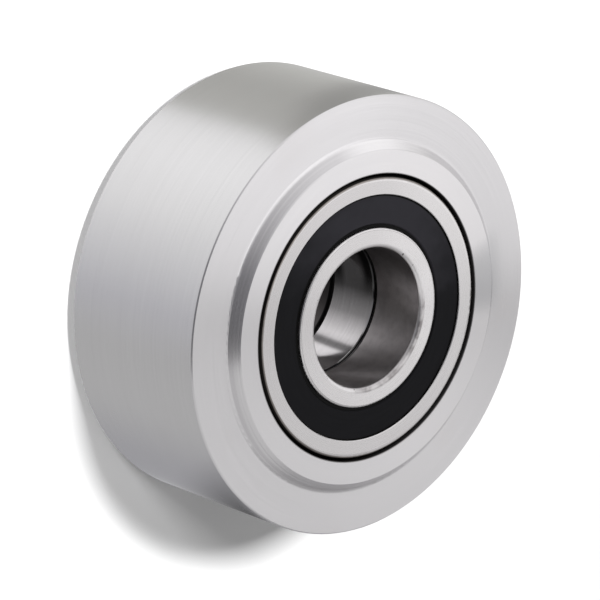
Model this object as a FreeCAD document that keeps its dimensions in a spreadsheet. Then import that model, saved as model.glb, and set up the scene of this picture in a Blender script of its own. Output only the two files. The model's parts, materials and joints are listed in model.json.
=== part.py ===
import FreeCAD, Part
import math
import os
import Sketcher

# Heavy caster wheel: a turned steel body on two sealed deep groove ball bearings with a spacer sleeve.
# The spin axis is +Z, the origin is the wheel's centre, and lengths are in millimetres.

document = FreeCAD.newDocument("caster_wheel")


# Driving dimensions

DIMENSIONS = [
    # Wheel body
    ("tread_diameter", 110.0, "across the rolling surface"),
    ("face_width", 44.0, "rim face to rim face"),
    ("boss_height", 2.5, "boss face above the rim face, on both sides"),
    ("boss_diameter", 83.4, "flat top of the raised boss"),
    ("boss_cone_angle", 45.0, "degrees between the boss flank and the rim face"),
    ("boss_root_radius", 1.0, "hollow at the foot of the boss flank"),
    ("rim_chamfer", 0.3, "edge of the tread"),
    ("seat_mouth_chamfer", 0.15, "broken edge where the bearing goes in"),
    ("seat_corner_radius", 0.8, "at the floor of the bearing seat"),
    ("land_height", 4.0, "shoulder between the bearing seats"),
    ("land_chamfer", 0.5, "edges of the hole through that shoulder"),
    # Bearing rings
    ("bearing_bore", 35.0, "inside the inner ring"),
    ("inner_ring_wall", 3.674, "from the bore to the floor of the raceway"),
    ("outer_ring_wall", 3.674, "from the floor of the raceway to the seat"),
    ("ring_recess", 0.2, "bearing face below the boss face"),
    ("outer_corner_radius", 1.8, "outside corners of the outer ring"),
    ("bore_corner_radius", 1.1, "bore corners of the inner ring"),
    ("ring_edge_break", 0.15, "inside face edges of the outer ring"),
    # Rolling elements and raceways
    ("ball_count", 9, "in each bearing"),
    ("ball_diameter", 11.112, "seven sixteenths of an inch"),
    ("race_relief", 0.222, "raceway radius over ball radius"),
    ("race_clearance", 0.02, "ball to raceway, each side"),
    ("inner_race_depth", 2.276, "raceway of the inner ring below its shoulder"),
    ("outer_race_depth", 2.076, "raceway of the outer ring below its shoulder"),
    # Seals and the grooves that hold them
    ("seal_land_step", 0.95, "land of the inner ring below its shoulder, where the lip runs"),
    ("seal_land_depth", 2.3, "length of that land from the ring face"),
    ("land_edge_radius", 0.5, "where that land meets the ring face"),
    ("mouth_step", 0.55, "opening of the outer ring outside its shoulder"),
    ("mouth_lip", 0.75, "wall of the outer ring over the seal bead"),
    ("seal_groove_depth", 1.1, "groove that holds the bead, outside the opening"),
    ("seal_groove_width", 1.55, "along the axis"),
    ("shoulder_bevel", 0.3, "step from a seal seat to the shoulder"),
    ("seal_clearance", 0.05, "bead to groove and lip to land"),
    ("seal_recess", 0.5, "web of the seal below the ring face"),
    ("seal_thickness", 1.2, "of the web"),
    ("seal_cage_gap", 0.344, "back of the web to the cage's domes"),
    ("seal_edge_bevel", 0.2, "outer edge of the web"),
    ("seal_root_bevel", 0.3, "back of the web where the lip begins"),
    ("lip_step", 0.4, "lip of the seal below its web"),
    ("lip_width", 0.7, "of the thin band beside the land"),
    ("lip_thickness", 0.5, "of that band"),
    # Cages
    ("cage_inner_gap", 0.95, "ribbon's inner edge to the inner ring's shoulder"),
    ("cage_outer_gap", 1.15, "ribbon's outer edge to the outer ring's shoulder"),
    ("cage_sheet", 0.8, "thickness of one half"),
    ("pocket_clearance", 0.1, "ball to pocket"),
    ("rivet_diameter", 1.5, "shank"),
    ("rivet_hole_clearance", 0.02, "shank to hole, each side"),
    ("rivet_head_diameter", 2.6, "domed, on both sides"),
    ("rivet_head_height", 0.5, "of each dome"),
    # Spacer sleeve
    ("spacer_step", 1.0, "outside of the spacer below the seal land, so it bears on the inner ring alone"),
    ("axle_clearance", 0.05, "spacer bore larger than the bearing bore, each side"),
    ("spacer_chamfer", 0.3, "both ends, inside and outside"),
]

sheet = document.addObject("Spreadsheet::Sheet", "Sizes")
for row, (alias, number, meaning) in enumerate(DIMENSIONS, start=1):
    sheet.set("A%d" % row, alias)
    sheet.set("B%d" % row, str(number))
    sheet.set("C%d" % row, meaning)
    sheet.setAlias("B%d" % row, alias)
document.recompute()


# Lengths that follow from the driving ones, as expressions

BALL_R = "Sizes.ball_diameter / 2"
POCKET_R = "(%s + Sizes.pocket_clearance)" % BALL_R
DOME_R = "(%s + Sizes.cage_sheet)" % POCKET_R

# Outward from the bore, the rings and the ball between them make up the bearing's 72 mm
BORE_R = "Sizes.bearing_bore / 2"
INNER_RACE_FLOOR = "(%s + Sizes.inner_ring_wall)" % BORE_R
PITCH_R = "(%s + Sizes.race_clearance + %s)" % (INNER_RACE_FLOOR, BALL_R)
OUTER_RACE_FLOOR = "(%s + %s + Sizes.race_clearance)" % (PITCH_R, BALL_R)
SEAT_R = "(%s + Sizes.outer_ring_wall)" % OUTER_RACE_FLOOR

# Outward from its mid plane, the ball, the cage and a seal make up half of its 17 mm
WEB_FOOT = "(%s + Sizes.seal_cage_gap)" % DOME_R
WEB_TOP = "(%s + Sizes.seal_thickness)" % WEB_FOOT
RING_HALF = "(%s + Sizes.seal_recess)" % WEB_TOP

RACE_R = "(%s + Sizes.race_relief)" % BALL_R
INNER_SHOULDER = "(%s + Sizes.inner_race_depth)" % INNER_RACE_FLOOR
OUTER_SHOULDER = "(%s - Sizes.outer_race_depth)" % OUTER_RACE_FLOOR
SEAL_LAND = "(%s - Sizes.seal_land_step)" % INNER_SHOULDER
MOUTH_R = "(%s + Sizes.mouth_step)" % OUTER_SHOULDER
GROOVE_R = "(%s + Sizes.seal_groove_depth)" % MOUTH_R
CAGE_INSIDE = "(%s + Sizes.cage_inner_gap)" % INNER_SHOULDER
CAGE_OUTSIDE = "(%s - Sizes.cage_outer_gap)" % OUTER_SHOULDER

TREAD_R = "Sizes.tread_diameter / 2"
FACE_HALF = "Sizes.face_width / 2"
HUB_HALF = "(%s + Sizes.boss_height)" % FACE_HALF
LAND_R = "(%s - Sizes.land_height)" % SEAT_R
BEARING_CENTRE = "(%s - Sizes.ring_recess - %s)" % (HUB_HALF, RING_HALF)

# The land between the bearings is as long as the spacer sleeve
LAND_HALF = "(%s - %s)" % (BEARING_CENTRE, RING_HALF)

# The angle from a ball to the rivet beside it
HALF_STEP = "180 deg / Sizes.ball_count"


def value(expression):
    """The number that an expression gives with the present sizes."""
    return float(sheet.evalExpression(expression.replace("Sizes.", "")))


# Sketches and features

def origin_feature(body, role):
    """One of the body's own planes or axes."""
    return next(f for f in body.Origin.OriginFeatures if f.Role == role)


def new_body(label):
    body = document.addObject("PartDesign::Body", label)
    body.Label = label
    return body


def arc_centre(start, end, radius, side):
    """Centre of the arc of that radius from start to end; side +1 bulges to the right of the way, -1 to the left."""
    (x1, y1), (x2, y2) = start, end
    chord = math.hypot(x2 - x1, y2 - y1)
    rise = math.sqrt(max(radius ** 2 - (chord / 2) ** 2, 0.0))
    normal = ((y1 - y2) / chord, (x2 - x1) / chord)
    return (
        (x1 + x2) / 2 + side * rise * normal[0],
        (y1 + y2) / 2 + side * rise * normal[1],
    )


def pin_down(sketch, vertex, name, across, along):
    """Fixes a vertex of the sketch at two expressions; an expression of 0 keeps it on the axis itself."""
    for kind, axis, letter, expression in (("DistanceX", -2, "r", across), ("DistanceY", -1, "z", along)):
        if expression == "0":
            sketch.addConstraint(Sketcher.Constraint("PointOnObject", *vertex, axis))
            continue
        number = value(expression)
        index = sketch.addConstraint(Sketcher.Constraint(kind, -1, 1, *vertex, number))
        sketch.renameConstraint(index, "%s_%s" % (name, letter))
        sketch.setExpression("Constraints.%s_%s" % (name, letter), expression)


def profile(body, name, vertices):
    """A closed sketch in the plane of X, the radius, and Z, the axis.

    Each vertex is (name, radius, height) or (name, radius, height, (arc radius, side)), with its sizes as
    expressions. The fourth entry bends the edge from that vertex to the next one.
    """
    sketch = body.newObject("Sketcher::SketchObject", name)
    sketch.AttachmentSupport = (origin_feature(body, "XZ_Plane"), [""])
    sketch.MapMode = "FlatFace"
    places = [(value(v[1]), value(v[2])) for v in vertices]
    starts, ends = [], []
    for i, vertex in enumerate(vertices):
        start, end = places[i], places[(i + 1) % len(places)]
        if len(vertex) == 3:
            line = Part.LineSegment(FreeCAD.Vector(*start, 0), FreeCAD.Vector(*end, 0))
            edge = sketch.addGeometry(line)
            starts.append((edge, 1))
            ends.append((edge, 2))
            continue
        radius, side = value(vertex[3][0]), vertex[3][1]
        centre = arc_centre(start, end, radius, side)
        circle = Part.Circle(FreeCAD.Vector(*centre, 0), FreeCAD.Vector(0, 0, 1), radius)
        angles = [math.atan2(p[1] - centre[1], p[0] - centre[0]) for p in (start, end)]
        # A sketch's arcs run anticlockwise, so one that runs clockwise is entered from its end
        if side < 0:
            angles.reverse()
        edge = sketch.addGeometry(Part.ArcOfCircle(circle, *angles))
        starts.append((edge, 1 if side > 0 else 2))
        ends.append((edge, 2 if side > 0 else 1))
        index = sketch.addConstraint(Sketcher.Constraint("Radius", edge, radius))
        sketch.renameConstraint(index, "%s_arc" % vertex[0])
        sketch.setExpression("Constraints.%s_arc" % vertex[0], vertex[3][0])
    for i, vertex in enumerate(vertices):
        sketch.addConstraint(Sketcher.Constraint("Coincident", *ends[i - 1], *starts[i]))
        pin_down(sketch, starts[i], vertex[0], vertex[1], vertex[2])
    return sketch


def turned(body, name, vertices, cut=False):
    """Turns a profile about the body's Z axis, as material or as a cut."""
    sketch = profile(body, name + "_profile", vertices)
    feature = body.newObject("PartDesign::Groove" if cut else "PartDesign::Revolution", name)
    feature.Profile = sketch
    feature.ReferenceAxis = (sketch, ["V_Axis"])
    feature.Angle = 360
    sketch.Visibility = False
    return feature


def turned_at_pitch(body, name, vertices, cut=False):
    """Turns a profile about the line through a ball's centre, parallel to the body's Z axis."""
    sketch = profile(body, name + "_profile", vertices)
    height = value(DOME_R)
    line = Part.LineSegment(FreeCAD.Vector(value(PITCH_R), 0, 0), FreeCAD.Vector(value(PITCH_R), height, 0))
    axis = sketch.addGeometry(line, True)
    pin_down(sketch, (axis, 1), "axis_foot", PITCH_R, "0")
    pin_down(sketch, (axis, 2), "axis_top", PITCH_R, DOME_R)
    feature = body.newObject("PartDesign::Groove" if cut else "PartDesign::Revolution", name)
    feature.Profile = sketch
    feature.ReferenceAxis = (sketch, ["Axis0"])
    feature.Angle = 360
    sketch.Visibility = False
    return feature


def repeated(body, name, feature):
    """The feature once for each ball, round the body's Z axis."""
    pattern = body.newObject("PartDesign::PolarPattern", name)
    pattern.Originals = [feature]
    pattern.Axis = (origin_feature(body, "Z_Axis"), [""])
    pattern.Angle = 360
    pattern.setExpression("Occurrences", "Sizes.ball_count")
    body.Tip = pattern
    return pattern


def mirrored(vertices):
    """A profile given from its foot to its top, followed by its mirror image below the mid plane.

    An arc joins two vertices, so on the way back it belongs to the vertex at its other end.
    """
    below = []
    for i in range(len(vertices) - 1, -1, -1):
        name, across, along = vertices[i][:3]
        bend = vertices[i - 1][3:] if i > 0 else ()
        below.append((name + "_back", across, "-(%s)" % along, *bend))
    return list(vertices) + below


def place(body, centre, flipped=False):
    """Stands a body at a height on the spin axis, upside down if flipped."""
    rotation = FreeCAD.Rotation(FreeCAD.Vector(1, 0, 0), 180 if flipped else 0)
    body.Placement = FreeCAD.Placement(FreeCAD.Vector(0, 0, 0), rotation)
    body.setExpression("Placement.Base.z", centre)


# Wheel body

def wheel_body():
    """One turned piece: tread, rim faces, conical boss flanks, two bearing seats and the land between them."""
    body = new_body("wheel_body")
    flank_foot = "(Sizes.boss_diameter / 2 + Sizes.boss_height / tan(Sizes.boss_cone_angle * 1 deg))"
    tangent = "(Sizes.boss_root_radius * tan(Sizes.boss_cone_angle * 0.5 deg))"
    half = [
        ("land_edge", LAND_R, LAND_HALF + " - Sizes.land_chamfer"),
        ("land_face", LAND_R + " + Sizes.land_chamfer", LAND_HALF),
        ("seat_floor", SEAT_R + " - Sizes.seat_corner_radius", LAND_HALF, ("Sizes.seat_corner_radius", 1)),
        ("seat_wall", SEAT_R, LAND_HALF + " + Sizes.seat_corner_radius"),
        ("seat_mouth", SEAT_R, HUB_HALF + " - Sizes.seat_mouth_chamfer"),
        ("boss_inside", SEAT_R + " + Sizes.seat_mouth_chamfer", HUB_HALF),
        ("boss_outside", "Sizes.boss_diameter / 2", HUB_HALF),
        (
            "flank",
            flank_foot + " - %s * cos(Sizes.boss_cone_angle * 1 deg)" % tangent,
            FACE_HALF + " + %s * sin(Sizes.boss_cone_angle * 1 deg)" % tangent,
            ("Sizes.boss_root_radius", 1),
        ),
        ("rim_face", flank_foot + " + " + tangent, FACE_HALF),
        ("rim_edge", TREAD_R + " - Sizes.rim_chamfer", FACE_HALF),
        ("tread_edge", TREAD_R, FACE_HALF + " - Sizes.rim_chamfer"),
    ]
    turned(body, "turned_blank", mirrored(half))
    return body


# Spacer sleeve

def spacer_sleeve():
    """Tube that carries the clamping load of the axle from one inner ring to the other."""
    body = new_body("spacer_sleeve")
    inside = BORE_R + " + Sizes.axle_clearance"
    outside = SEAL_LAND + " - Sizes.spacer_step"
    half = [
        ("outside", outside, LAND_HALF + " - Sizes.spacer_chamfer"),
        ("end_outside", outside + " - Sizes.spacer_chamfer", LAND_HALF),
        ("end_inside", inside + " + Sizes.spacer_chamfer", LAND_HALF),
        ("inside", inside, LAND_HALF + " - Sizes.spacer_chamfer"),
    ]
    turned(body, "tube", mirrored(half))
    return body


# Bearings: each piece is drawn with the bearing's centre at its own origin and the outboard side up

def race_half_width(shoulder, centre):
    """Half the width of a raceway where it breaks through a shoulder."""
    return "sqrt((%s) ^ 2 - (%s - %s) ^ 2)" % (RACE_R, shoulder, centre)


def outer_ring(label):
    body = new_body(label)
    race_centre = "(%s - %s)" % (OUTER_RACE_FLOOR, RACE_R)
    groove_top = RING_HALF + " - Sizes.mouth_lip"
    groove_floor = groove_top + " - Sizes.seal_groove_width"
    corner = "Sizes.outer_corner_radius"
    half = [
        ("race_edge", OUTER_SHOULDER, race_half_width(OUTER_SHOULDER, race_centre)),
        ("shoulder_edge", OUTER_SHOULDER, groove_floor + " - Sizes.shoulder_bevel"),
        ("groove_floor", OUTER_SHOULDER + " + Sizes.shoulder_bevel", groove_floor),
        ("groove_corner", GROOVE_R, groove_floor),
        ("groove_top", GROOVE_R, groove_top),
        ("mouth_inside", MOUTH_R, groove_top),
        ("mouth_edge", MOUTH_R, RING_HALF + " - Sizes.ring_edge_break"),
        ("face_inside", MOUTH_R + " + Sizes.ring_edge_break", RING_HALF),
        ("face_outside", SEAT_R + " - " + corner, RING_HALF, (corner, -1)),
        ("outside", SEAT_R, RING_HALF + " - " + corner),
    ]
    vertices = mirrored(half)
    # The last edge closes the profile along the raceway
    vertices[-1] = (*vertices[-1], (RACE_R, 1))
    turned(body, "ring", vertices)
    return body


def inner_ring(label):
    body = new_body(label)
    race_centre = "(%s + %s)" % (INNER_RACE_FLOOR, RACE_R)
    land_foot = RING_HALF + " - Sizes.seal_land_depth"
    corner = "Sizes.bore_corner_radius"
    land_corner = "Sizes.land_edge_radius"
    half = [
        ("race_edge", INNER_SHOULDER, race_half_width(INNER_SHOULDER, race_centre)),
        ("shoulder_edge", INNER_SHOULDER, land_foot + " - Sizes.shoulder_bevel"),
        ("land_foot", SEAL_LAND, land_foot),
        ("land_edge", SEAL_LAND, RING_HALF + " - " + land_corner, (land_corner, 1)),
        ("face_outside", SEAL_LAND + " - " + land_corner, RING_HALF),
        ("face_inside", BORE_R + " + " + corner, RING_HALF, (corner, 1)),
        ("bore_edge", BORE_R, RING_HALF + " - " + corner),
    ]
    vertices = mirrored(half)
    vertices[-1] = (*vertices[-1], (RACE_R, -1))
    turned(body, "ring", vertices)
    return body


def seal(label):
    """Rubber seal: its bead snaps into the outer ring's groove and its thin lip runs on the inner ring's land."""
    body = new_body(label)
    gap = "Sizes.seal_clearance"
    bead_r = GROOVE_R + " - " + gap
    web_r = MOUTH_R + " - " + gap
    lip_r = SEAL_LAND + " + " + gap
    lip_root = lip_r + " + Sizes.lip_width"
    bead_top = RING_HALF + " - Sizes.mouth_lip - " + gap
    bead_foot = RING_HALF + " - Sizes.mouth_lip - Sizes.seal_groove_width + " + gap
    lip_top = WEB_TOP + " - Sizes.lip_step"
    lip_foot = lip_top + " - Sizes.lip_thickness"
    turned(body, "moulding", [
        ("bead_foot", bead_r, bead_foot),
        ("bead_top", bead_r, bead_top),
        ("bead_inside", web_r, bead_top),
        ("web_side", web_r, WEB_TOP + " - Sizes.seal_edge_bevel"),
        ("web_outside", web_r + " - Sizes.seal_edge_bevel", WEB_TOP),
        ("web_inside", lip_root + " + Sizes.lip_step", WEB_TOP),
        ("lip_root", lip_root, lip_top),
        ("lip_top", lip_r, lip_top),
        ("lip_foot", lip_r, lip_foot),
        ("lip_back", lip_root, lip_foot),
        ("web_root", lip_root + " + Sizes.seal_root_bevel", WEB_FOOT),
        ("web_foot", web_r, WEB_FOOT),
        ("bead_root", web_r, bead_foot),
    ])
    return body


def ball(label):
    sphere = document.addObject("Part::Sphere", label)
    sphere.Label = label
    sphere.setExpression("Radius", BALL_R)
    return sphere


def cage_half(label):
    """Half of a pressed ribbon cage: flats between the balls, domed pockets over them, and rivet holes."""
    body = new_body(label)
    turned(body, "ribbon", [
        ("foot_inside", CAGE_INSIDE, "0"),
        ("foot_outside", CAGE_OUTSIDE, "0"),
        ("top_outside", CAGE_OUTSIDE, "Sizes.cage_sheet"),
        ("top_inside", CAGE_INSIDE, "Sizes.cage_sheet"),
    ])
    dome = turned_at_pitch(body, "dome", [
        ("foot", PITCH_R, "0"),
        ("edge", "%s + %s" % (PITCH_R, DOME_R), "0", (DOME_R, 1)),
        ("top", PITCH_R, DOME_R),
    ])
    repeated(body, "domes", dome)
    reach = "(%s + Sizes.cage_sheet)" % DOME_R
    turned(body, "trim_inside", [
        ("foot_inside", "%s - %s" % (PITCH_R, reach), "-Sizes.cage_sheet"),
        ("foot", CAGE_INSIDE, "-Sizes.cage_sheet"),
        ("top", CAGE_INSIDE, reach),
        ("top_inside", "%s - %s" % (PITCH_R, reach), reach),
    ], cut=True)
    turned(body, "trim_outside", [
        ("foot", CAGE_OUTSIDE, "-Sizes.cage_sheet"),
        ("foot_outside", "%s + %s" % (PITCH_R, reach), "-Sizes.cage_sheet"),
        ("top_outside", "%s + %s" % (PITCH_R, reach), reach),
        ("top", CAGE_OUTSIDE, reach),
    ], cut=True)
    pocket = turned_at_pitch(body, "pocket", [
        ("foot", PITCH_R, "0"),
        ("edge", "%s + %s" % (PITCH_R, POCKET_R), "0", (POCKET_R, 1)),
        ("top", PITCH_R, POCKET_R),
    ], cut=True)
    repeated(body, "pockets", pocket)
    repeated(body, "rivet_holes", rivet_hole(body))
    return body


def rivet_hole(body):
    """A hole through the flat halfway between two balls."""
    sketch = body.newObject("Sketcher::SketchObject", "rivet_hole_profile")
    sketch.AttachmentSupport = (origin_feature(body, "XY_Plane"), [""])
    sketch.MapMode = "FlatFace"
    across = "%s * cos(%s)" % (PITCH_R, HALF_STEP)
    along = "%s * sin(%s)" % (PITCH_R, HALF_STEP)
    radius = "Sizes.rivet_diameter / 2 + Sizes.rivet_hole_clearance"
    centre = FreeCAD.Vector(value(across), value(along), 0)
    circle = sketch.addGeometry(Part.Circle(centre, FreeCAD.Vector(0, 0, 1), value(radius)))
    pin_down(sketch, (circle, 3), "centre", across, along)
    index = sketch.addConstraint(Sketcher.Constraint("Radius", circle, value(radius)))
    sketch.renameConstraint(index, "hole")
    sketch.setExpression("Constraints.hole", radius)
    hole = body.newObject("PartDesign::Pocket", "rivet_hole")
    hole.Profile = sketch
    hole.Reversed = True
    hole.setExpression("Length", "2 * Sizes.cage_sheet")
    sketch.Visibility = False
    return hole


def cage_rivets(label):
    """The rivets of one cage, each with a domed head on both sides of the two ribbons, as separate solids."""
    body = new_body(label)
    body.AllowCompound = True
    shank = "Sizes.rivet_diameter / 2"
    head = "Sizes.rivet_head_diameter / 2"
    tip = "Sizes.cage_sheet + Sizes.rivet_head_height"
    dome = "((%s) ^ 2 + Sizes.rivet_head_height ^ 2) / (2 * Sizes.rivet_head_height)" % head
    rivet = turned_at_pitch(body, "rivet", [
        ("lower_tip", PITCH_R, "-(%s)" % tip, (dome, 1)),
        ("lower_rim", PITCH_R + " + " + head, "-Sizes.cage_sheet"),
        ("lower_neck", PITCH_R + " + " + shank, "-Sizes.cage_sheet"),
        ("upper_neck", PITCH_R + " + " + shank, "Sizes.cage_sheet"),
        ("upper_rim", PITCH_R + " + " + head, "Sizes.cage_sheet", (dome, 1)),
        ("upper_tip", PITCH_R, tip),
    ])
    repeated(body, "rivets", rivet)
    return body


def bearing(side, sign):
    """All pieces of one bearing; sign is +1 in front and -1 behind. Outboard faces away from the wheel's middle."""
    centre = "%d * %s" % (sign, BEARING_CENTRE)
    pieces = []
    for make, name in ((outer_ring, "outer_ring"), (inner_ring, "inner_ring")):
        ring = make("%s_bearing_%s" % (side, name))
        place(ring, centre)
        pieces.append(ring)
    for make, name in ((seal, "seal"), (cage_half, "cage")):
        for way, outboard in (("outboard", 1), ("inboard", -1)):
            piece = make("%s_bearing_%s_%s" % (side, name, way))
            place(piece, centre, flipped=sign * outboard < 0)
            pieces.append(piece)
    rivets = cage_rivets("%s_bearing_cage_rivets" % side)
    rivets.Placement = FreeCAD.Placement(FreeCAD.Vector(0, 0, 0), FreeCAD.Vector(0, 0, 1), value(HALF_STEP))
    rivets.setExpression("Placement.Base.z", centre)
    rivets.setExpression("Placement.Rotation.Angle", HALF_STEP)
    pieces.append(rivets)
    for number in range(1, int(value("Sizes.ball_count")) + 1):
        one_ball = ball("%s_bearing_ball_%d" % (side, number))
        place(one_ball, centre)
        angle = "%d * 360 deg / Sizes.ball_count" % (number - 1)
        one_ball.setExpression("Placement.Base.x", "%s * cos(%s)" % (PITCH_R, angle))
        one_ball.setExpression("Placement.Base.y", "%s * sin(%s)" % (PITCH_R, angle))
        pieces.append(one_ball)
    return pieces


# Build, test and write

nodes = [wheel_body(), spacer_sleeve()]
nodes += bearing("front", 1)
nodes += bearing("back", -1)
document.recompute()

for thing in document.Objects:
    if {"Invalid", "Error"} & set(thing.State):
        raise RuntimeError("%s failed: %s" % (thing.Label, thing.State))
for node in nodes:
    solids = int(value("Sizes.ball_count")) if node.Label.endswith("rivets") else 1
    if node.Shape.isNull() or not node.Shape.isValid() or len(node.Shape.Solids) != solids:
        raise RuntimeError("%s isn't the solid it should be" % node.Label)

os.makedirs("parts", exist_ok=True)
for node in nodes:
    node.Shape.exportStep("parts/%s.step" % node.Label)
print("%d nodes written" % len(nodes))
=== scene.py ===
import json
import math

import bmesh
import bpy
from mathutils import Matrix, Vector


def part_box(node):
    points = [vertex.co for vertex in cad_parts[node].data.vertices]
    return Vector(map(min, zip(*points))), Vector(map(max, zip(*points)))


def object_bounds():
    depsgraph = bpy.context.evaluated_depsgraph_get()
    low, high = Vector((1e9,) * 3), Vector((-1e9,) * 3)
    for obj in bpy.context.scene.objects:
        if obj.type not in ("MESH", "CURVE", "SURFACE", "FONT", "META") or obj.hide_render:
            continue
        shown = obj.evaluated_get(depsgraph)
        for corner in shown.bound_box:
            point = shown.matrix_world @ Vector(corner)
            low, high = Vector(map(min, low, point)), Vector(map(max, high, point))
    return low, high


# Turned steel caster wheel on two sealed ball bearings, standing on its back boss face.
# Lengths are in metres, the spin axis is +Z, and the origin is the wheel's centre.

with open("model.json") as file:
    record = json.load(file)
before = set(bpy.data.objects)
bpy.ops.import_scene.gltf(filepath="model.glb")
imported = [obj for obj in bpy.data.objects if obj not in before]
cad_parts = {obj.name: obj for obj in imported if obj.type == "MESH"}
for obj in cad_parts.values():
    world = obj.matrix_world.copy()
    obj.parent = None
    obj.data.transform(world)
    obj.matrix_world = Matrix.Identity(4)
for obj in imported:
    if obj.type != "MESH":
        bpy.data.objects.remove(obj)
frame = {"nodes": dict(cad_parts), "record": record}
cad_low, cad_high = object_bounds()

MM = 0.001


# Sizes that the finishes follow, in millimetres

def outer_radius(node):
    """Outside radius of a turned piece, in millimetres."""
    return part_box(node)[1].x / MM


def top(node):
    """Height of a piece's highest point, in millimetres."""
    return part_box(node)[1].z / MM


SEAT_R = outer_radius("front_bearing_outer_ring")
BORE_R = frame["record"]["mounts"][0]["dims"]["r_mm"]
RING_FACE = top("front_bearing_outer_ring")
SPACER_END = top("spacer_sleeve")
# The frame doesn't tell these: half the face width, the corners of the rings, the spacer's chamfer,
# and the radii of the inner ring's land and of the outer ring's mouth
RIM_FACE = 22.0
RING_CORNER = 1.8
BORE_CORNER = 1.1
SPACER_CHAMFER = 0.3
LAND_R = 22.5
MOUTH_R = 30.8


# Node helpers

# How much faster the tool marks follow one another up a wall than across a face
WALL_MARKS = 1.7
# Turns a highlight's long side from along the tool marks to across them
QUARTER_TURN = 0.25


def add(tree, kind, inputs=None, **settings):
    """A new node with its settings, and with inputs set to values or linked to sockets."""
    node = tree.nodes.new(kind)
    for name, setting in settings.items():
        setattr(node, name, setting)
    for key, entry in (inputs or {}).items():
        if isinstance(entry, bpy.types.NodeSocket):
            tree.links.new(entry, node.inputs[key])
        else:
            node.inputs[key].default_value = entry
    return node


def calc(tree, operation, *values):
    """One step of arithmetic."""
    return add(tree, "ShaderNodeMath", dict(enumerate(values)), operation=operation).outputs[0]


def remap(tree, socket, low, high, start=0.0, end=1.0, smooth=True):
    """The socket's range from low to high becomes start to end, and stays there beyond it."""
    node = add(tree, "ShaderNodeMapRange", {
        "Value": socket, "From Min": low, "From Max": high, "To Min": start, "To Max": end,
    }, interpolation_type="SMOOTHSTEP" if smooth else "LINEAR")
    return node.outputs["Result"]


def band(tree, socket, low, high, soft):
    """1 between low and high, with soft edges inside them, and 0 outside."""
    rise = remap(tree, socket, low, low + soft)
    fall = remap(tree, socket, high - soft, high, 1.0, 0.0)
    return calc(tree, "MULTIPLY", rise, fall)


def mix(tree, share, first, second):
    """A colour between two, where share 0 is the first."""
    node = add(tree, "ShaderNodeMix", data_type="RGBA")
    colours = [s for s in node.inputs if s.type == "RGBA"]
    for socket, entry in zip([node.inputs[0]] + colours, (share, first, second)):
        if isinstance(entry, bpy.types.NodeSocket):
            tree.links.new(entry, socket)
        else:
            socket.default_value = entry if isinstance(entry, float) else (*entry, 1.0)
    return next(s for s in node.outputs if s.type == "RGBA")


def from_axis(tree, x, y):
    """Distance from the Z axis."""
    squares = calc(tree, "ADD", calc(tree, "MULTIPLY", x, x), calc(tree, "MULTIPLY", y, y))
    return calc(tree, "SQRT", squares)


def lathe(tree):
    """A point's radius and height in millimetres, and its direction from the axis."""
    position = add(tree, "ShaderNodeTexCoord").outputs["Object"]
    parts = add(tree, "ShaderNodeSeparateXYZ", {0: position}).outputs
    x, y, z = (calc(tree, "MULTIPLY", part, 1 / MM) for part in parts)
    radius = from_axis(tree, x, y)
    return {
        "position": position,
        "radius": radius,
        "height": z,
        "depth": calc(tree, "ABSOLUTE", z),
        "east": calc(tree, "DIVIDE", x, radius),
        "north": calc(tree, "DIVIDE", y, radius),
    }


def toward(tree, place, degrees):
    """1 on the side that lies in this direction from the axis, -1 on the other."""
    across = calc(tree, "MULTIPLY", place["north"], math.sin(math.radians(degrees)))
    return calc(tree, "MULTIPLY_ADD", place["east"], math.cos(math.radians(degrees)), across)


def facing(tree, place, degrees, low, high, start=0.0, end=1.0):
    """A share that goes from start to end as toward goes from low to high."""
    return remap(tree, toward(tree, place, degrees), low, high, start, end)


def rings(tree, place, pitch, wander=0.6, detail=2.0, seed=0.0):
    """Tool marks: noise that changes every pitch millimetres of profile, slowly round the axis."""
    along = calc(tree, "MULTIPLY_ADD", place["height"], WALL_MARKS, place["radius"])
    vector = add(tree, "ShaderNodeCombineXYZ", {
        0: calc(tree, "MULTIPLY_ADD", along, 1 / pitch, seed),
        1: calc(tree, "MULTIPLY", place["east"], wander),
        2: calc(tree, "MULTIPLY", place["north"], wander),
    }).outputs[0]
    noise = add(tree, "ShaderNodeTexNoise", {"Vector": vector, "Scale": 1.0, "Detail": detail})
    return noise.outputs["Fac"]


def mottle(tree, place, size, detail=3.0):
    """Plain noise with patches about size millimetres across."""
    return add(tree, "ShaderNodeTexNoise", {
        "Vector": place["position"], "Scale": 1 / (size * MM), "Detail": detail,
    }).outputs["Fac"]


def relief(tree, height, depth):
    """Normals of a surface whose height varies by depth millimetres."""
    node = add(tree, "ShaderNodeBump", {"Height": height, "Strength": 1.0, "Distance": depth * MM})
    return node.outputs["Normal"]


def new_material(name):
    """A material, its node tree and its shader."""
    material = bpy.data.materials.new(name)
    material.use_nodes = True
    return material, material.node_tree, material.node_tree.nodes["Principled BSDF"]


def finish_with(tree, shader, colour, roughness, normal):
    """Links what every material varies to its shader."""
    tree.links.new(colour, shader.inputs["Base Color"])
    tree.links.new(roughness, shader.inputs["Roughness"])
    tree.links.new(normal, shader.inputs["Normal"])


def turned_metal(tree, shader, anisotropy):
    """Metal whose tool marks run round the axis, so that its highlights stretch across them."""
    shader.inputs["Metallic"].default_value = 1.0
    shader.inputs["Anisotropic"].default_value = anisotropy
    shader.inputs["Anisotropic Rotation"].default_value = QUARTER_TURN
    tangent = add(tree, "ShaderNodeTangent", direction_type="RADIAL", axis="Z")
    tree.links.new(tangent.outputs[0], shader.inputs["Tangent"])


# Materials, with colours as linear red, green and blue

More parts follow.
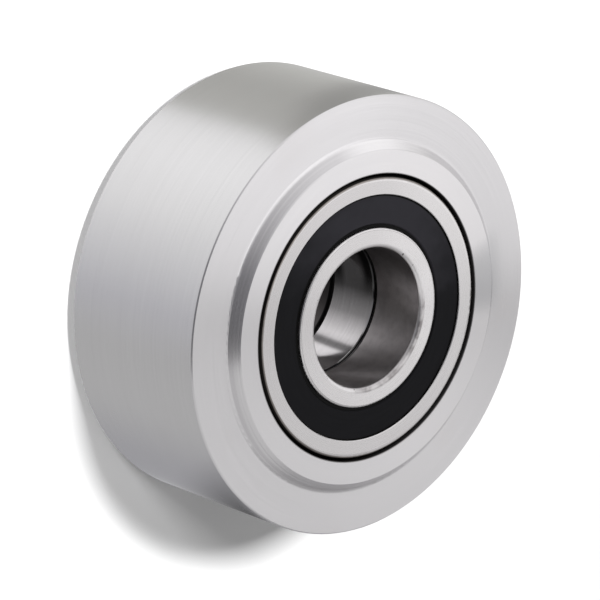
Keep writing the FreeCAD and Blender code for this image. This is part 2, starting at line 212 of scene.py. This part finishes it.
# Sides on which each painted highlight and painted shade is at its strongest, as compass directions
# in degrees from +X
BOSS_BRIGHT = 148.0
BOSS_SHADED = 118.5
CONE_BRIGHT = -164.0
RINGS_BRIGHT = 128.0
RINGS_SHADED = -118.0
INNER_RING_BRIGHT = 110.0
BORE_SMUDGE_AND_SHADE = 68.0
BORE_SHADED = 180.0
INBOARD_SHADED = 118.0
SEAL_DUST_AND_SHEEN = -170.0

# Near black, for painted shade
BLACK_SHADE = (0.01, 0.01, 0.01)


def wheel_steel():
    """Bright turned steel with fine tool marks, a faint stain, painted highlights on the boss and
    cone, a patch of painted shade, and dark oil with painted shade in the bearing seats.
    """
    material, tree, shader = new_material("wheel_steel")
    place = lathe(tree)
    fine = rings(tree, place, 0.22, wander=1.4, detail=3.0)
    broad = rings(tree, place, 1.9, wander=0.9, seed=5.0)
    brushed = rings(tree, place, 0.45, wander=0.4, seed=9.0)
    stain = mottle(tree, place, 26.0)
    tone = mix(tree, broad, (0.765, 0.758, 0.765), (0.805, 0.795, 0.803))
    cone = calc(tree, "MULTIPLY", band(tree, place["depth"], RIM_FACE + 0.1, RING_FACE, 0.2),
                remap(tree, place["radius"], SEAT_R + 4.0, SEAT_R + 5.0))
    lines = calc(tree, "MULTIPLY", cone, remap(tree, brushed, 0.35, 0.65))
    tone = mix(tree, lines, tone, (0.67, 0.66, 0.67))
    tone = mix(tree, remap(tree, stain, 0.56, 0.8, 0.0, 0.5), tone, (0.74, 0.72, 0.722))
    tone = mix(tree, remap(tree, fine, 0.25, 0.75, 0.0, 0.22), tone, (0.70, 0.69, 0.70))
    # Boss face: a lighter lapped finish all round, with a painted highlight towards one side
    boss = remap(tree, place["depth"], RING_FACE - 0.1, RING_FACE + 0.1)
    lapped_finish_and_painted_highlight = facing(tree, place, BOSS_BRIGHT, 0.3, 0.95, 0.2, 0.75)
    tone = mix(tree, calc(tree, "MULTIPLY", boss, lapped_finish_and_painted_highlight), tone, (0.90, 0.885, 0.89))
    # Painted highlight on one side of the cone, and a patch of painted shade that runs from the boss
    # out over it on another
    painted_highlight = calc(tree, "MULTIPLY", cone, facing(tree, place, CONE_BRIGHT, 0.92, 0.998, 0.0, 0.8))
    tone = mix(tree, painted_highlight, tone, (0.96, 0.95, 0.955))
    painted_shade_patch = calc(tree, "MULTIPLY", facing(tree, place, BOSS_SHADED, 0.961, 1.0, 0.0, 0.85),
                 remap(tree, place["radius"], SEAT_R + 6.0, SEAT_R + 14.0, 1.0, 0.0))
    tone = mix(tree, painted_shade_patch, tone, (0.58, 0.58, 0.59))
    # Seat walls: dark oil with painted shade, reaching a little further out on one side
    reach = calc(tree, "MULTIPLY_ADD", place["north"], 0.12, place["radius"])
    oil_and_painted_shade = band(tree, reach, SEAT_R - 6.0, SEAT_R + 0.42, 0.42)
    tone = mix(tree, oil_and_painted_shade, tone, (0.035, 0.032, 0.03))
    roughness = calc(tree, "MULTIPLY_ADD", fine, 0.09, 0.17)
    roughness = calc(tree, "MULTIPLY_ADD", stain, 0.06, roughness)
    roughness = calc(tree, "MULTIPLY_ADD", oil_and_painted_shade, 0.2, roughness)
    marks = calc(tree, "MULTIPLY_ADD", broad, 0.8, fine)
    turned_metal(tree, shader, 0.85)
    finish_with(tree, shader, tone, roughness, relief(tree, marks, 0.001))
    return material


def bearing_steel():
    """Ground ring faces with painted highlights and painted shade, corners with scale and painted
    shade in them, and a bore that its axle has rubbed, with painted shade in it.
    """
    material, tree, shader = new_material("bearing_steel")
    place = lathe(tree)
    fine = rings(tree, place, 0.16, wander=2.4, detail=3.0)
    grain = mottle(tree, place, 0.7, detail=4.0)
    streak = rings(tree, place, 0.5, wander=9.0, detail=4.0)
    smudge = mottle(tree, place, 2.6, detail=4.0)
    tone = mix(tree, fine, (0.71, 0.695, 0.695), (0.77, 0.755, 0.753))
    inner = remap(tree, place["radius"], LAND_R - 0.1, LAND_R + 0.1, 1.0, 0.0)
    tone = mix(tree, calc(tree, "MULTIPLY", inner, 0.75), tone, (0.845, 0.83, 0.83))
    # Painted highlight on one side of both rings and painted shade on another, the inner one more so
    painted_highlight = facing(tree, place, RINGS_BRIGHT, 0.3, 0.95, 0.0, 0.55)
    tone = mix(tree, painted_highlight, tone, (0.90, 0.885, 0.88))
    painted_shade = facing(tree, place, RINGS_SHADED, 0.3, 0.95, 0.0, 0.4)
    tone = mix(tree, painted_shade, tone, (0.60, 0.585, 0.585))
    painted_highlight = facing(tree, place, INNER_RING_BRIGHT, 0.75, 1.0, 0.0, 0.9)
    painted_highlight = calc(tree, "MULTIPLY", inner, painted_highlight)
    tone = mix(tree, painted_highlight, tone, (0.96, 0.945, 0.945))
    tone = mix(tree, remap(tree, grain, 0.5, 0.8, 0.0, 0.25), tone, (0.64, 0.62, 0.612))
    # Outside corner: grey scale near the face, and painted black shade down in the seat
    start = SEAT_R - RING_CORNER
    scale = mix(tree, streak, (0.15, 0.135, 0.125), (0.44, 0.41, 0.385))
    reach = calc(tree, "MULTIPLY_ADD", place["north"], -0.3, place["radius"])
    tone = mix(tree, remap(tree, reach, start + 0.33, start + 0.63), tone, scale)
    tone = mix(tree, remap(tree, reach, start + 0.68, start + 1.0), tone, (0.012, 0.011, 0.010))
    # Rim of the inner ring's face: a thin dark line
    rim_line = band(tree, place["radius"], LAND_R - 0.58, LAND_R - 0.36, 0.08)
    tone = mix(tree, calc(tree, "MULTIPLY", rim_line, 0.5), tone, (0.16, 0.15, 0.15))
    # Bore corner: smudges with painted shade, strongest on one side, and a few pits
    corner = band(tree, place["radius"], BORE_R - 0.05, BORE_R + BORE_CORNER + 0.5, 0.5)
    side = facing(tree, place, BORE_SMUDGE_AND_SHADE, 0.35, 0.85)
    smudge_and_painted_shade = calc(tree, "MULTIPLY", corner, remap(tree, smudge, 0.36, 0.66, 0.45, 1.0))
    smudge_and_painted_shade = calc(tree, "MULTIPLY", smudge_and_painted_shade, remap(tree, side, 0.0, 1.0, 0.05, 0.85))
    tone = mix(tree, smudge_and_painted_shade, tone, (0.20, 0.185, 0.185))
    pits = calc(tree, "MULTIPLY", remap(tree, grain, 0.66, 0.7), remap(tree, smudge, 0.5, 0.6))
    tone = mix(tree, calc(tree, "MULTIPLY", corner, pits), tone, (0.05, 0.046, 0.045))
    # Bore: dull where the axle has rubbed, with painted shade on one side and in the back bearing
    bore = remap(tree, place["radius"], BORE_R + 0.02, BORE_R + 0.1, 1.0, 0.0)
    rubbed_and_painted_shade = mix(tree, streak, (0.70, 0.665, 0.665), (0.82, 0.785, 0.785))
    rubbed_and_painted_shade = mix(tree, remap(tree, smudge, 0.4, 0.7, 0.0, 0.6), rubbed_and_painted_shade, (0.58, 0.55, 0.55))
    overlay = facing(tree, place, BORE_SHADED, 0.3, 1.0, 0.0, 0.6)
    overlay = calc(tree, "MAXIMUM", overlay, remap(tree, place["height"], -4.0, 4.0, 0.95, 0.0))
    rubbed_and_painted_shade = mix(tree, overlay, rubbed_and_painted_shade, (0.06, 0.055, 0.055))
    tone = mix(tree, bore, tone, rubbed_and_painted_shade)
    # Walls beside the seals, and the inboard corners: painted black shade, in the corners strongest
    # on one side
    beside_seal = band(tree, place["radius"], LAND_R + 0.5, MOUTH_R + 0.1, 0.05)
    sunk = remap(tree, place["depth"], RING_FACE - 0.7, RING_FACE - 0.35, 1.0, 0.0)
    tone = mix(tree, calc(tree, "MULTIPLY", beside_seal, sunk), tone, (0.012, 0.011, 0.011))
    edge = SPACER_END + BORE_CORNER
    inboard = remap(tree, place["depth"], edge + 0.15, edge + 0.35, 1.0, 0.0)
    shaded_side = facing(tree, place, INBOARD_SHADED, 0.2, 0.75, 0.5, 1.0)
    tone = mix(tree, calc(tree, "MULTIPLY", inboard, shaded_side), tone, BLACK_SHADE)
    roughness = calc(tree, "MULTIPLY_ADD", fine, 0.1, 0.22)
    roughness = calc(tree, "MULTIPLY_ADD", corner, 0.06, roughness)
    roughness = calc(tree, "MULTIPLY_ADD", bore, 0.03, roughness)
    marks = calc(tree, "MULTIPLY_ADD", grain, 0.5, fine)
    turned_metal(tree, shader, 0.6)
    finish_with(tree, shader, tone, roughness, relief(tree, marks, 0.001))
    return material


def spacer_steel():
    """Smoothly bored tube, shinier than the rings, with painted shade in its bore near the ends, on
    its chamfers and on its ends.
    """
    material, tree, shader = new_material("spacer_steel")
    place = lathe(tree)
    fine = rings(tree, place, 0.3, wander=1.6, detail=3.0)
    wear = mottle(tree, place, 6.0)
    tone = mix(tree, fine, (0.60, 0.585, 0.585), (0.84, 0.83, 0.83))
    tone = mix(tree, remap(tree, wear, 0.5, 0.75, 0.0, 0.4), tone, (0.58, 0.565, 0.565))
    # Painted shade on one side of the bore, near both ends
    overlay = facing(tree, place, BORE_SHADED, 0.2, 0.6, 0.0, 0.95)
    near_end = remap(tree, place["depth"], SPACER_END - 5.0, SPACER_END - 2.0)
    overlay = calc(tree, "MULTIPLY", overlay, near_end)
    tone = mix(tree, overlay, tone, (0.03, 0.03, 0.03))
    # End chamfer: painted dark shade, much lighter on one side
    foot = SPACER_END - SPACER_CHAMFER
    chamfer = remap(tree, place["depth"], foot, foot + 0.08)
    unshaded_side = band(tree, place["east"], -0.35, 0.3, 0.15)
    painted_shade = calc(tree, "MULTIPLY", chamfer, remap(tree, unshaded_side, 0.0, 1.0, 0.95, 0.2))
    tone = mix(tree, painted_shade, tone, (0.05, 0.05, 0.05))
    # Ends: painted black shade
    ends = remap(tree, place["depth"], SPACER_END - 0.06, SPACER_END - 0.02)
    tone = mix(tree, ends, tone, BLACK_SHADE)
    roughness = calc(tree, "MULTIPLY_ADD", fine, 0.08, 0.07)
    turned_metal(tree, shader, 0.6)
    finish_with(tree, shader, tone, roughness, relief(tree, fine, 0.0013))
    return material


def seal_rubber():
    """Black nitrile with a faint grain, a little dust, a painted sheen on one side, and painted
    shade at its edges.
    """
    material, tree, shader = new_material("seal_rubber")
    place = lathe(tree)
    grain = mottle(tree, place, 0.35, detail=4.0)
    flow = rings(tree, place, 0.8, wander=3.0)
    dust = mottle(tree, place, 7.0, detail=5.0)
    tone = mix(tree, flow, (0.0025, 0.0025, 0.003), (0.005, 0.005, 0.006))
    # A little dust, and a painted sheen that lightens one side
    dust_and_painted_sheen = calc(tree, "SUBTRACT", toward(tree, place, SEAL_DUST_AND_SHEEN), 0.45)
    dust_and_painted_sheen = calc(tree, "MULTIPLY_ADD", dust, 0.9, dust_and_painted_sheen)
    tone = mix(tree, remap(tree, dust_and_painted_sheen, 0.1, 1.05, 0.0, 0.6), tone, (0.027, 0.026, 0.031))
    # The crevices at both edges: painted near-black shade
    lip = remap(tree, place["radius"], LAND_R + 0.75, LAND_R + 1.0, 1.0, 0.0)
    rim = remap(tree, place["radius"], MOUTH_R - 0.55, MOUTH_R - 0.35)
    tone = mix(tree, calc(tree, "MAXIMUM", lip, rim), tone, (0.002, 0.002, 0.002))
    roughness = calc(tree, "MULTIPLY_ADD", grain, 0.2, 0.36)
    shader.inputs["Specular IOR Level"].default_value = 0.08
    marks = calc(tree, "MULTIPLY_ADD", flow, 0.6, grain)
    finish_with(tree, shader, tone, roughness, relief(tree, marks, 0.012))
    return material


def ball_steel():
    """Lapped and polished, with hair scratches and a film of grease."""
    material, tree, shader = new_material("ball_steel")
    place = lathe(tree)
    scratch = add(tree, "ShaderNodeTexWave", {
        "Vector": place["position"], "Scale": 900.0, "Distortion": 14.0, "Detail": 4.0,
        "Detail Scale": 2.0,
    }).outputs["Fac"]
    overlay = mottle(tree, place, 3.0)
    tone = mix(tree, overlay, (0.74, 0.735, 0.72), (0.82, 0.82, 0.825))
    roughness = calc(tree, "MULTIPLY_ADD", overlay, 0.12, 0.03)
    shader.inputs["Metallic"].default_value = 1.0
    finish_with(tree, shader, tone, roughness, relief(tree, scratch, 0.0002))
    return material


def sheet_steel(name, dark, light):
    """Pressed steel with drawing marks and a thin film of oil."""
    material, tree, shader = new_material(name)
    place = lathe(tree)
    drawn = rings(tree, place, 0.4, wander=6.0, detail=4.0)
    overlay = mottle(tree, place, 2.5)
    tone = mix(tree, drawn, dark, light)
    tone = mix(tree, remap(tree, overlay, 0.5, 0.8, 0.0, 0.4), tone, (0.34, 0.31, 0.27))
    roughness = calc(tree, "MULTIPLY_ADD", overlay, 0.2, 0.24)
    shader.inputs["Metallic"].default_value = 1.0
    finish_with(tree, shader, tone, roughness, relief(tree, drawn, 0.003))
    return material


def dress(materials):
    """Gives each piece the material of its slot in the record."""
    for entry in frame["record"]["subparts"]:
        piece = frame["nodes"][entry["node"]]
        piece.data.materials.clear()
        piece.data.materials.append(materials[entry["material_slot"]])


dress({
    "wheel_steel": wheel_steel(),
    "bearing_steel": bearing_steel(),
    "spacer_steel": spacer_steel(),
    "seal_rubber": seal_rubber(),
    "ball_steel": ball_steel(),
    "cage_steel": sheet_steel("cage_steel", (0.50, 0.49, 0.48), (0.66, 0.65, 0.64)),
    "rivet_steel": sheet_steel("rivet_steel", (0.46, 0.45, 0.44), (0.62, 0.61, 0.60)),
})


# Camera: the photograph's viewing angle

# In pixels
IMAGE_WIDTH = 600
FOCAL_LENGTH = 4407
# In millimetres and metres
SENSOR = 36.0
CLIP_END = 20.0
# The wheel's axis and the centre of its front rim face, as the camera sees them
WHEEL_AXIS = Vector((0.67109, -0.21877, 0.70836)).normalized()
FRONT_RIM_CENTRE = Vector((15.189, -3.957, -1074.921)) * MM


def put(name, data):
    """A new object in the scene."""
    thing = bpy.data.objects.new(name, data)
    bpy.context.scene.collection.objects.link(thing)
    return thing


def camera():
    """The wheel stands on its end, so the camera is rolled to see it as the photograph does."""
    data = bpy.data.cameras.new("camera")
    data.sensor_width = SENSOR
    data.lens = FOCAL_LENGTH / IMAGE_WIDTH * SENSOR
    data.clip_end = CLIP_END
    viewer = put("camera", data)
    # The world's axes as the camera sees them: Z is the wheel's own, and Y points away from it
    back = Vector((0, 0, 1))
    away = -(back - back.dot(WHEEL_AXIS) * WHEEL_AXIS).normalized()
    to_world = Matrix((away.cross(WHEEL_AXIS), away, WHEEL_AXIS))
    place = Vector((0, 0, RIM_FACE * MM)) - to_world @ FRONT_RIM_CENTRE
    viewer.matrix_world = Matrix.Translation(place) @ to_world.to_4x4()
    bpy.context.scene.camera = viewer
    bpy.context.scene.view_settings.view_transform = "Standard"


camera()


# Studio: a pale floor, two soft lamps, an even sky, and walls and cards that only reflections see

FLOOR_HALF = 4.0
FLOOR_TONES = ((0.90, 0.90, 0.90), (0.92, 0.92, 0.92))
FLOOR_GRAIN = 30.0
FLOOR_ROUGHNESS = 0.9
# The floor's own light, which only background rays see, and the sky's level for all other rays
FLOOR_LIFT = 0.04
SKY_LEVEL = 0.27

# Each lamp's direction and distance from the wheel, its width, and its power in watts
LAMPS = {
    "key": ((-0.32, -0.224, 0.92), 2.0, 0.3, 38.5),
    "fill": ((-0.329, -0.903, 0.276), 1.5, 0.35, 14.5),
}

TENT_RADIUS = 0.6
TENT_SEGMENTS = 96
TENT_RINGS = 48

# The tent's walls: compass direction in degrees from +X, brightness, and share of blue in it
TENT_UPPER = [
    (-180, 0.95, 1.0), (-90, 0.20, 1.05), (-46, 0.10, 1.05), (-41, 0.60, 1.0), (11, 0.60, 1.0),
    (25, 0.40, 1.0), (45, 0.35, 1.0), (78, 0.65, 1.0), (86.5, 0.65, 1.0), (88, 0.40, 1.0),
    (92, 0.40, 1.0), (93.5, 0.90, 1.0), (120, 0.95, 1.0), (135, 0.85, 1.0), (145, 1.0, 1.0),
    (180, 0.95, 1.0),
]
TENT_LOWER = [
    (-180, 0.50, 0.95), (-165, 0.50, 0.95), (-162, 0.95, 1.0), (-150, 1.0, 1.0), (-134, 1.0, 1.0),
    (-110, 0.90, 1.0), (-62, 0.55, 1.05), (-40, 0.50, 1.0), (-5, 0.50, 1.0), (26, 0.40, 1.05),
    (56, 0.40, 1.05), (78, 0.80, 1.0), (89, 0.85, 1.0), (92, 0.50, 1.0), (97, 0.75, 1.0),
    (108, 0.55, 1.0), (130, 0.60, 0.95), (162, 0.45, 0.95), (180, 0.50, 0.95),
]
UPPER_GREEN = 0.99
LOWER_GREEN = 1.0
# Heights between which the lower walls turn into the upper ones, as shares of the tent's radius
WALL_TURN = (-0.25, 0.2)
# A wall's slope is its height over its distance from the axis: 1 at 45 degrees, and at most this
STEEPEST = 4.0
# The upper walls shine brighter above 45 degrees than below: the slopes, and the strength at each
UPPER_SLOPES = (0.85, 1.15)
UPPER_STRENGTH = (1.02, 1.26)
# The seam between the two panels that the faces reflect: how many degrees it leans for each unit of
# slope, and the slopes and degrees of its step near 45 degrees
SEAM_LEAN = 8.0
SEAM_SLOPES = (0.92, 1.08)
SEAM_STEP = (-0.9, 0.5)

# Two dark cards beside the tread. Each has its place along X, how much Y adds to the height that its
# soft edge follows, where that edge starts and ends, and how much the card hides
FLAG_HALF = 0.06
FLAG_TOP = 0.016
FLAG_TONE = (0.03, 0.03, 0.03, 1)
FLAGS = [(0.0565, 1.0, -0.027, 0.012, 0.86), (-0.0565, 0.0, -0.004, 0.008, 0.33)]

# A round card behind the bore, by compass direction as above
CARD_RADIUS = 0.064
CARD_HEIGHT = -0.060
CARD_SEGMENTS = 96
CARD_LEVELS = [
    (-180, 0.95, 1.0), (-172, 0.95, 1.0), (-166, 0.20, 1.0), (-155, 0.20, 1.0), (-148, 0.80, 1.0),
    (-138, 0.85, 1.0), (-90, 0.25, 1.0), (-40, 0.05, 1.0), (150, 0.05, 1.0), (158, 0.10, 1.0),
    (167, 0.90, 1.0), (180, 0.95, 1.0),
]
CARD_GREEN = 0.98


def cast(visible, *kinds):
    """Leaves a stage object visible to the given kinds of ray alone."""
    for kind in ("camera", "diffuse", "glossy", "transmission", "volume_scatter", "shadow"):
        setattr(visible, "visible_" + kind, kind in kinds)


def background_ray(tree):
    """1 for rays that should see a white background: the camera's, and those in metal or glass."""
    path = add(tree, "ShaderNodeLightPath").outputs
    seen = calc(tree, "MAXIMUM", path["Is Camera Ray"], path["Is Glossy Ray"])
    return calc(tree, "MAXIMUM", seen, path["Is Transmission Ray"])


def sheet(name, corners):
    """A mesh of one face with four corners."""
    mesh = bpy.data.meshes.new(name)
    mesh.from_pydata(corners, [], [(0, 1, 2, 3)])
    return mesh


def shaped(name, operator, **sizes):
    """A mesh made by one of bmesh's operators."""
    mesh = bpy.data.meshes.new(name)
    work = bmesh.new()
    operator(work, **sizes)
    work.to_mesh(mesh)
    work.free()
    return mesh


def floor():
    """Pale floor under the back boss face, lifted for the camera by the same little everywhere."""
    square = ((-1, -1), (1, -1), (1, 1), (-1, 1))
    mesh = sheet("floor", [(x * FLOOR_HALF, y * FLOOR_HALF, cad_low.z) for x, y in square])
    ground = put("floor", mesh)
    material, tree, shader = new_material("floor")
    place = add(tree, "ShaderNodeTexCoord").outputs["Object"]
    grain = add(tree, "ShaderNodeTexNoise", {"Vector": place, "Scale": FLOOR_GRAIN, "Detail": 3.0})
    tone = mix(tree, grain.outputs["Fac"], *FLOOR_TONES)
    tree.links.new(tone, shader.inputs["Base Color"])
    shader.inputs["Roughness"].default_value = FLOOR_ROUGHNESS
    shader.inputs["Specular IOR Level"].default_value = 0.0
    shader.inputs["Emission Color"].default_value = (1, 1, 1, 1)
    lift = calc(tree, "MULTIPLY", background_ray(tree), FLOOR_LIFT)
    tree.links.new(lift, shader.inputs["Emission Strength"])
    mesh.materials.append(material)
    cast(ground, "camera", "diffuse", "shadow", "transmission")
    return ground


def coordinates(tree):
    """X, Y and Z of a point in metres."""
    position = add(tree, "ShaderNodeTexCoord").outputs["Object"]
    return add(tree, "ShaderNodeSeparateXYZ", {0: position}).outputs


def azimuth_of(tree, x, y):
    """Compass direction, from 0 at -X through 0.5 at +X."""
    return calc(tree, "MULTIPLY_ADD", calc(tree, "ARCTAN2", y, x), 0.5 / math.pi, 0.5)


def level_by_azimuth(tree, turn, levels, green):
    """Brightness of a wall by compass direction, in degrees from +X, with its share of green."""
    ramp = add(tree, "ShaderNodeValToRGB", {0: turn})
    stops = ramp.color_ramp.elements
    while len(stops) < len(levels):
        stops.new(1.0)
    for stop, (azimuth, level, blue) in zip(stops, levels):
        stop.position = (azimuth + 180) / 360
        stop.color = (level, level * green, level * blue, 1)
    return ramp.outputs["Color"]


def stage_piece(name, mesh):
    """A stage object that only reflections see, with a material that is still empty."""
    thing = put(name, mesh)
    material = bpy.data.materials.new(name)
    material.use_nodes = True
    material.cycles.emission_sampling = "NONE"
    material.node_tree.nodes.clear()
    mesh.materials.append(material)
    cast(thing, "glossy")
    return thing, material.node_tree


def glow(tree, colour, strength=1.0):
    """An even light in this colour."""
    return add(tree, "ShaderNodeEmission", {"Color": colour, "Strength": strength}).outputs[0]


def show(tree, surface):
    """Makes a shader the material's surface."""
    output = add(tree, "ShaderNodeOutputMaterial")
    tree.links.new(surface, output.inputs["Surface"])


def tent():
    """White walls with a few darker ones, which give bright metal its bands."""
    mesh = shaped("tent", bmesh.ops.create_uvsphere, u_segments=TENT_SEGMENTS,
                  v_segments=TENT_RINGS, radius=TENT_RADIUS)
    shell, tree = stage_piece("tent", mesh)
    x, y, z = coordinates(tree)
    turn = azimuth_of(tree, x, y)
    reach = calc(tree, "MAXIMUM", from_axis(tree, x, y), 0.01)
    slope = calc(tree, "MINIMUM", calc(tree, "DIVIDE", z, reach), STEEPEST)
    lean = calc(tree, "MULTIPLY_ADD", slope, SEAM_LEAN, -SEAM_LEAN)
    lean = calc(tree, "ADD", lean, remap(tree, slope, *SEAM_SLOPES, *SEAM_STEP))
    leaning = calc(tree, "ADD", turn, calc(tree, "DIVIDE", lean, 360.0))
    low, high = (share * TENT_RADIUS for share in WALL_TURN)
    rise = remap(tree, z, low, high)
    lower = level_by_azimuth(tree, turn, TENT_LOWER, LOWER_GREEN)
    upper = level_by_azimuth(tree, leaning, TENT_UPPER, UPPER_GREEN)
    above = remap(tree, slope, *UPPER_SLOPES, *UPPER_STRENGTH)
    strength = calc(tree, "MULTIPLY_ADD", rise, calc(tree, "SUBTRACT", above, 1.0), 1.0)
    show(tree, glow(tree, mix(tree, rise, lower, upper), strength))
    return shell


def bore_card():
    """A round card behind the wheel, which is what the bore of the spacer reflects."""
    mesh = shaped("bore_card", bmesh.ops.create_circle, cap_ends=True, segments=CARD_SEGMENTS,
                  radius=CARD_RADIUS)
    card, tree = stage_piece("bore_card", mesh)
    card.location.z = CARD_HEIGHT
    x, y, _ = coordinates(tree)
    show(tree, glow(tree, level_by_azimuth(tree, azimuth_of(tree, x, y), CARD_LEVELS, CARD_GREEN)))
    return card


def flag(side, sideways, low, high, most):
    """A dark card beside the tread, with a soft edge, like the shade beside a wheel on a table."""
    near, far, foot, top_edge = -FLAG_HALF, FLAG_HALF, -FLAG_HALF, FLAG_TOP
    corners = [(side, near, foot), (side, far, foot), (side, far, top_edge), (side, near, top_edge)]
    card, tree = stage_piece("flag", sheet("flag", corners))
    _, y, z = coordinates(tree)
    share = remap(tree, calc(tree, "MULTIPLY_ADD", y, sideways, z), low, high, 0.0, most)
    clear = add(tree, "ShaderNodeBsdfTransparent").outputs[0]
    veil = add(tree, "ShaderNodeMixShader", {0: share, 1: clear, 2: glow(tree, FLAG_TONE)})
    show(tree, veil.outputs[0])
    return card


def lamp(name, direction, distance, size, power):
    """A square soft lamp that looks at the wheel, seen by matt surfaces only."""
    data = bpy.data.lights.new(name, "AREA")
    data.size = size
    data.energy = power
    light = put(name, data)
    light.location = Vector(direction).normalized() * distance
    light.rotation_mode = "QUATERNION"
    light.rotation_quaternion = light.location.to_track_quat("Z", "Y")
    light.visible_glossy = False
    light.visible_camera = False


def sky():
    """Even light from all sides, white behind the floor's edge."""
    world = bpy.data.worlds.new("sky")
    bpy.context.scene.world = world
    world.use_nodes = True
    tree = world.node_tree
    background = tree.nodes["Background"]
    background.inputs["Color"].default_value = (1, 1, 1, 1)
    strength = remap(tree, background_ray(tree), 0.0, 1.0, SKY_LEVEL, 1.0, smooth=False)
    tree.links.new(strength, background.inputs["Strength"])


floor()
tent()
bore_card()
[flag(*each) for each in FLAGS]
sky()
for lamp_name, settings in LAMPS.items():
    lamp(lamp_name, *settings)
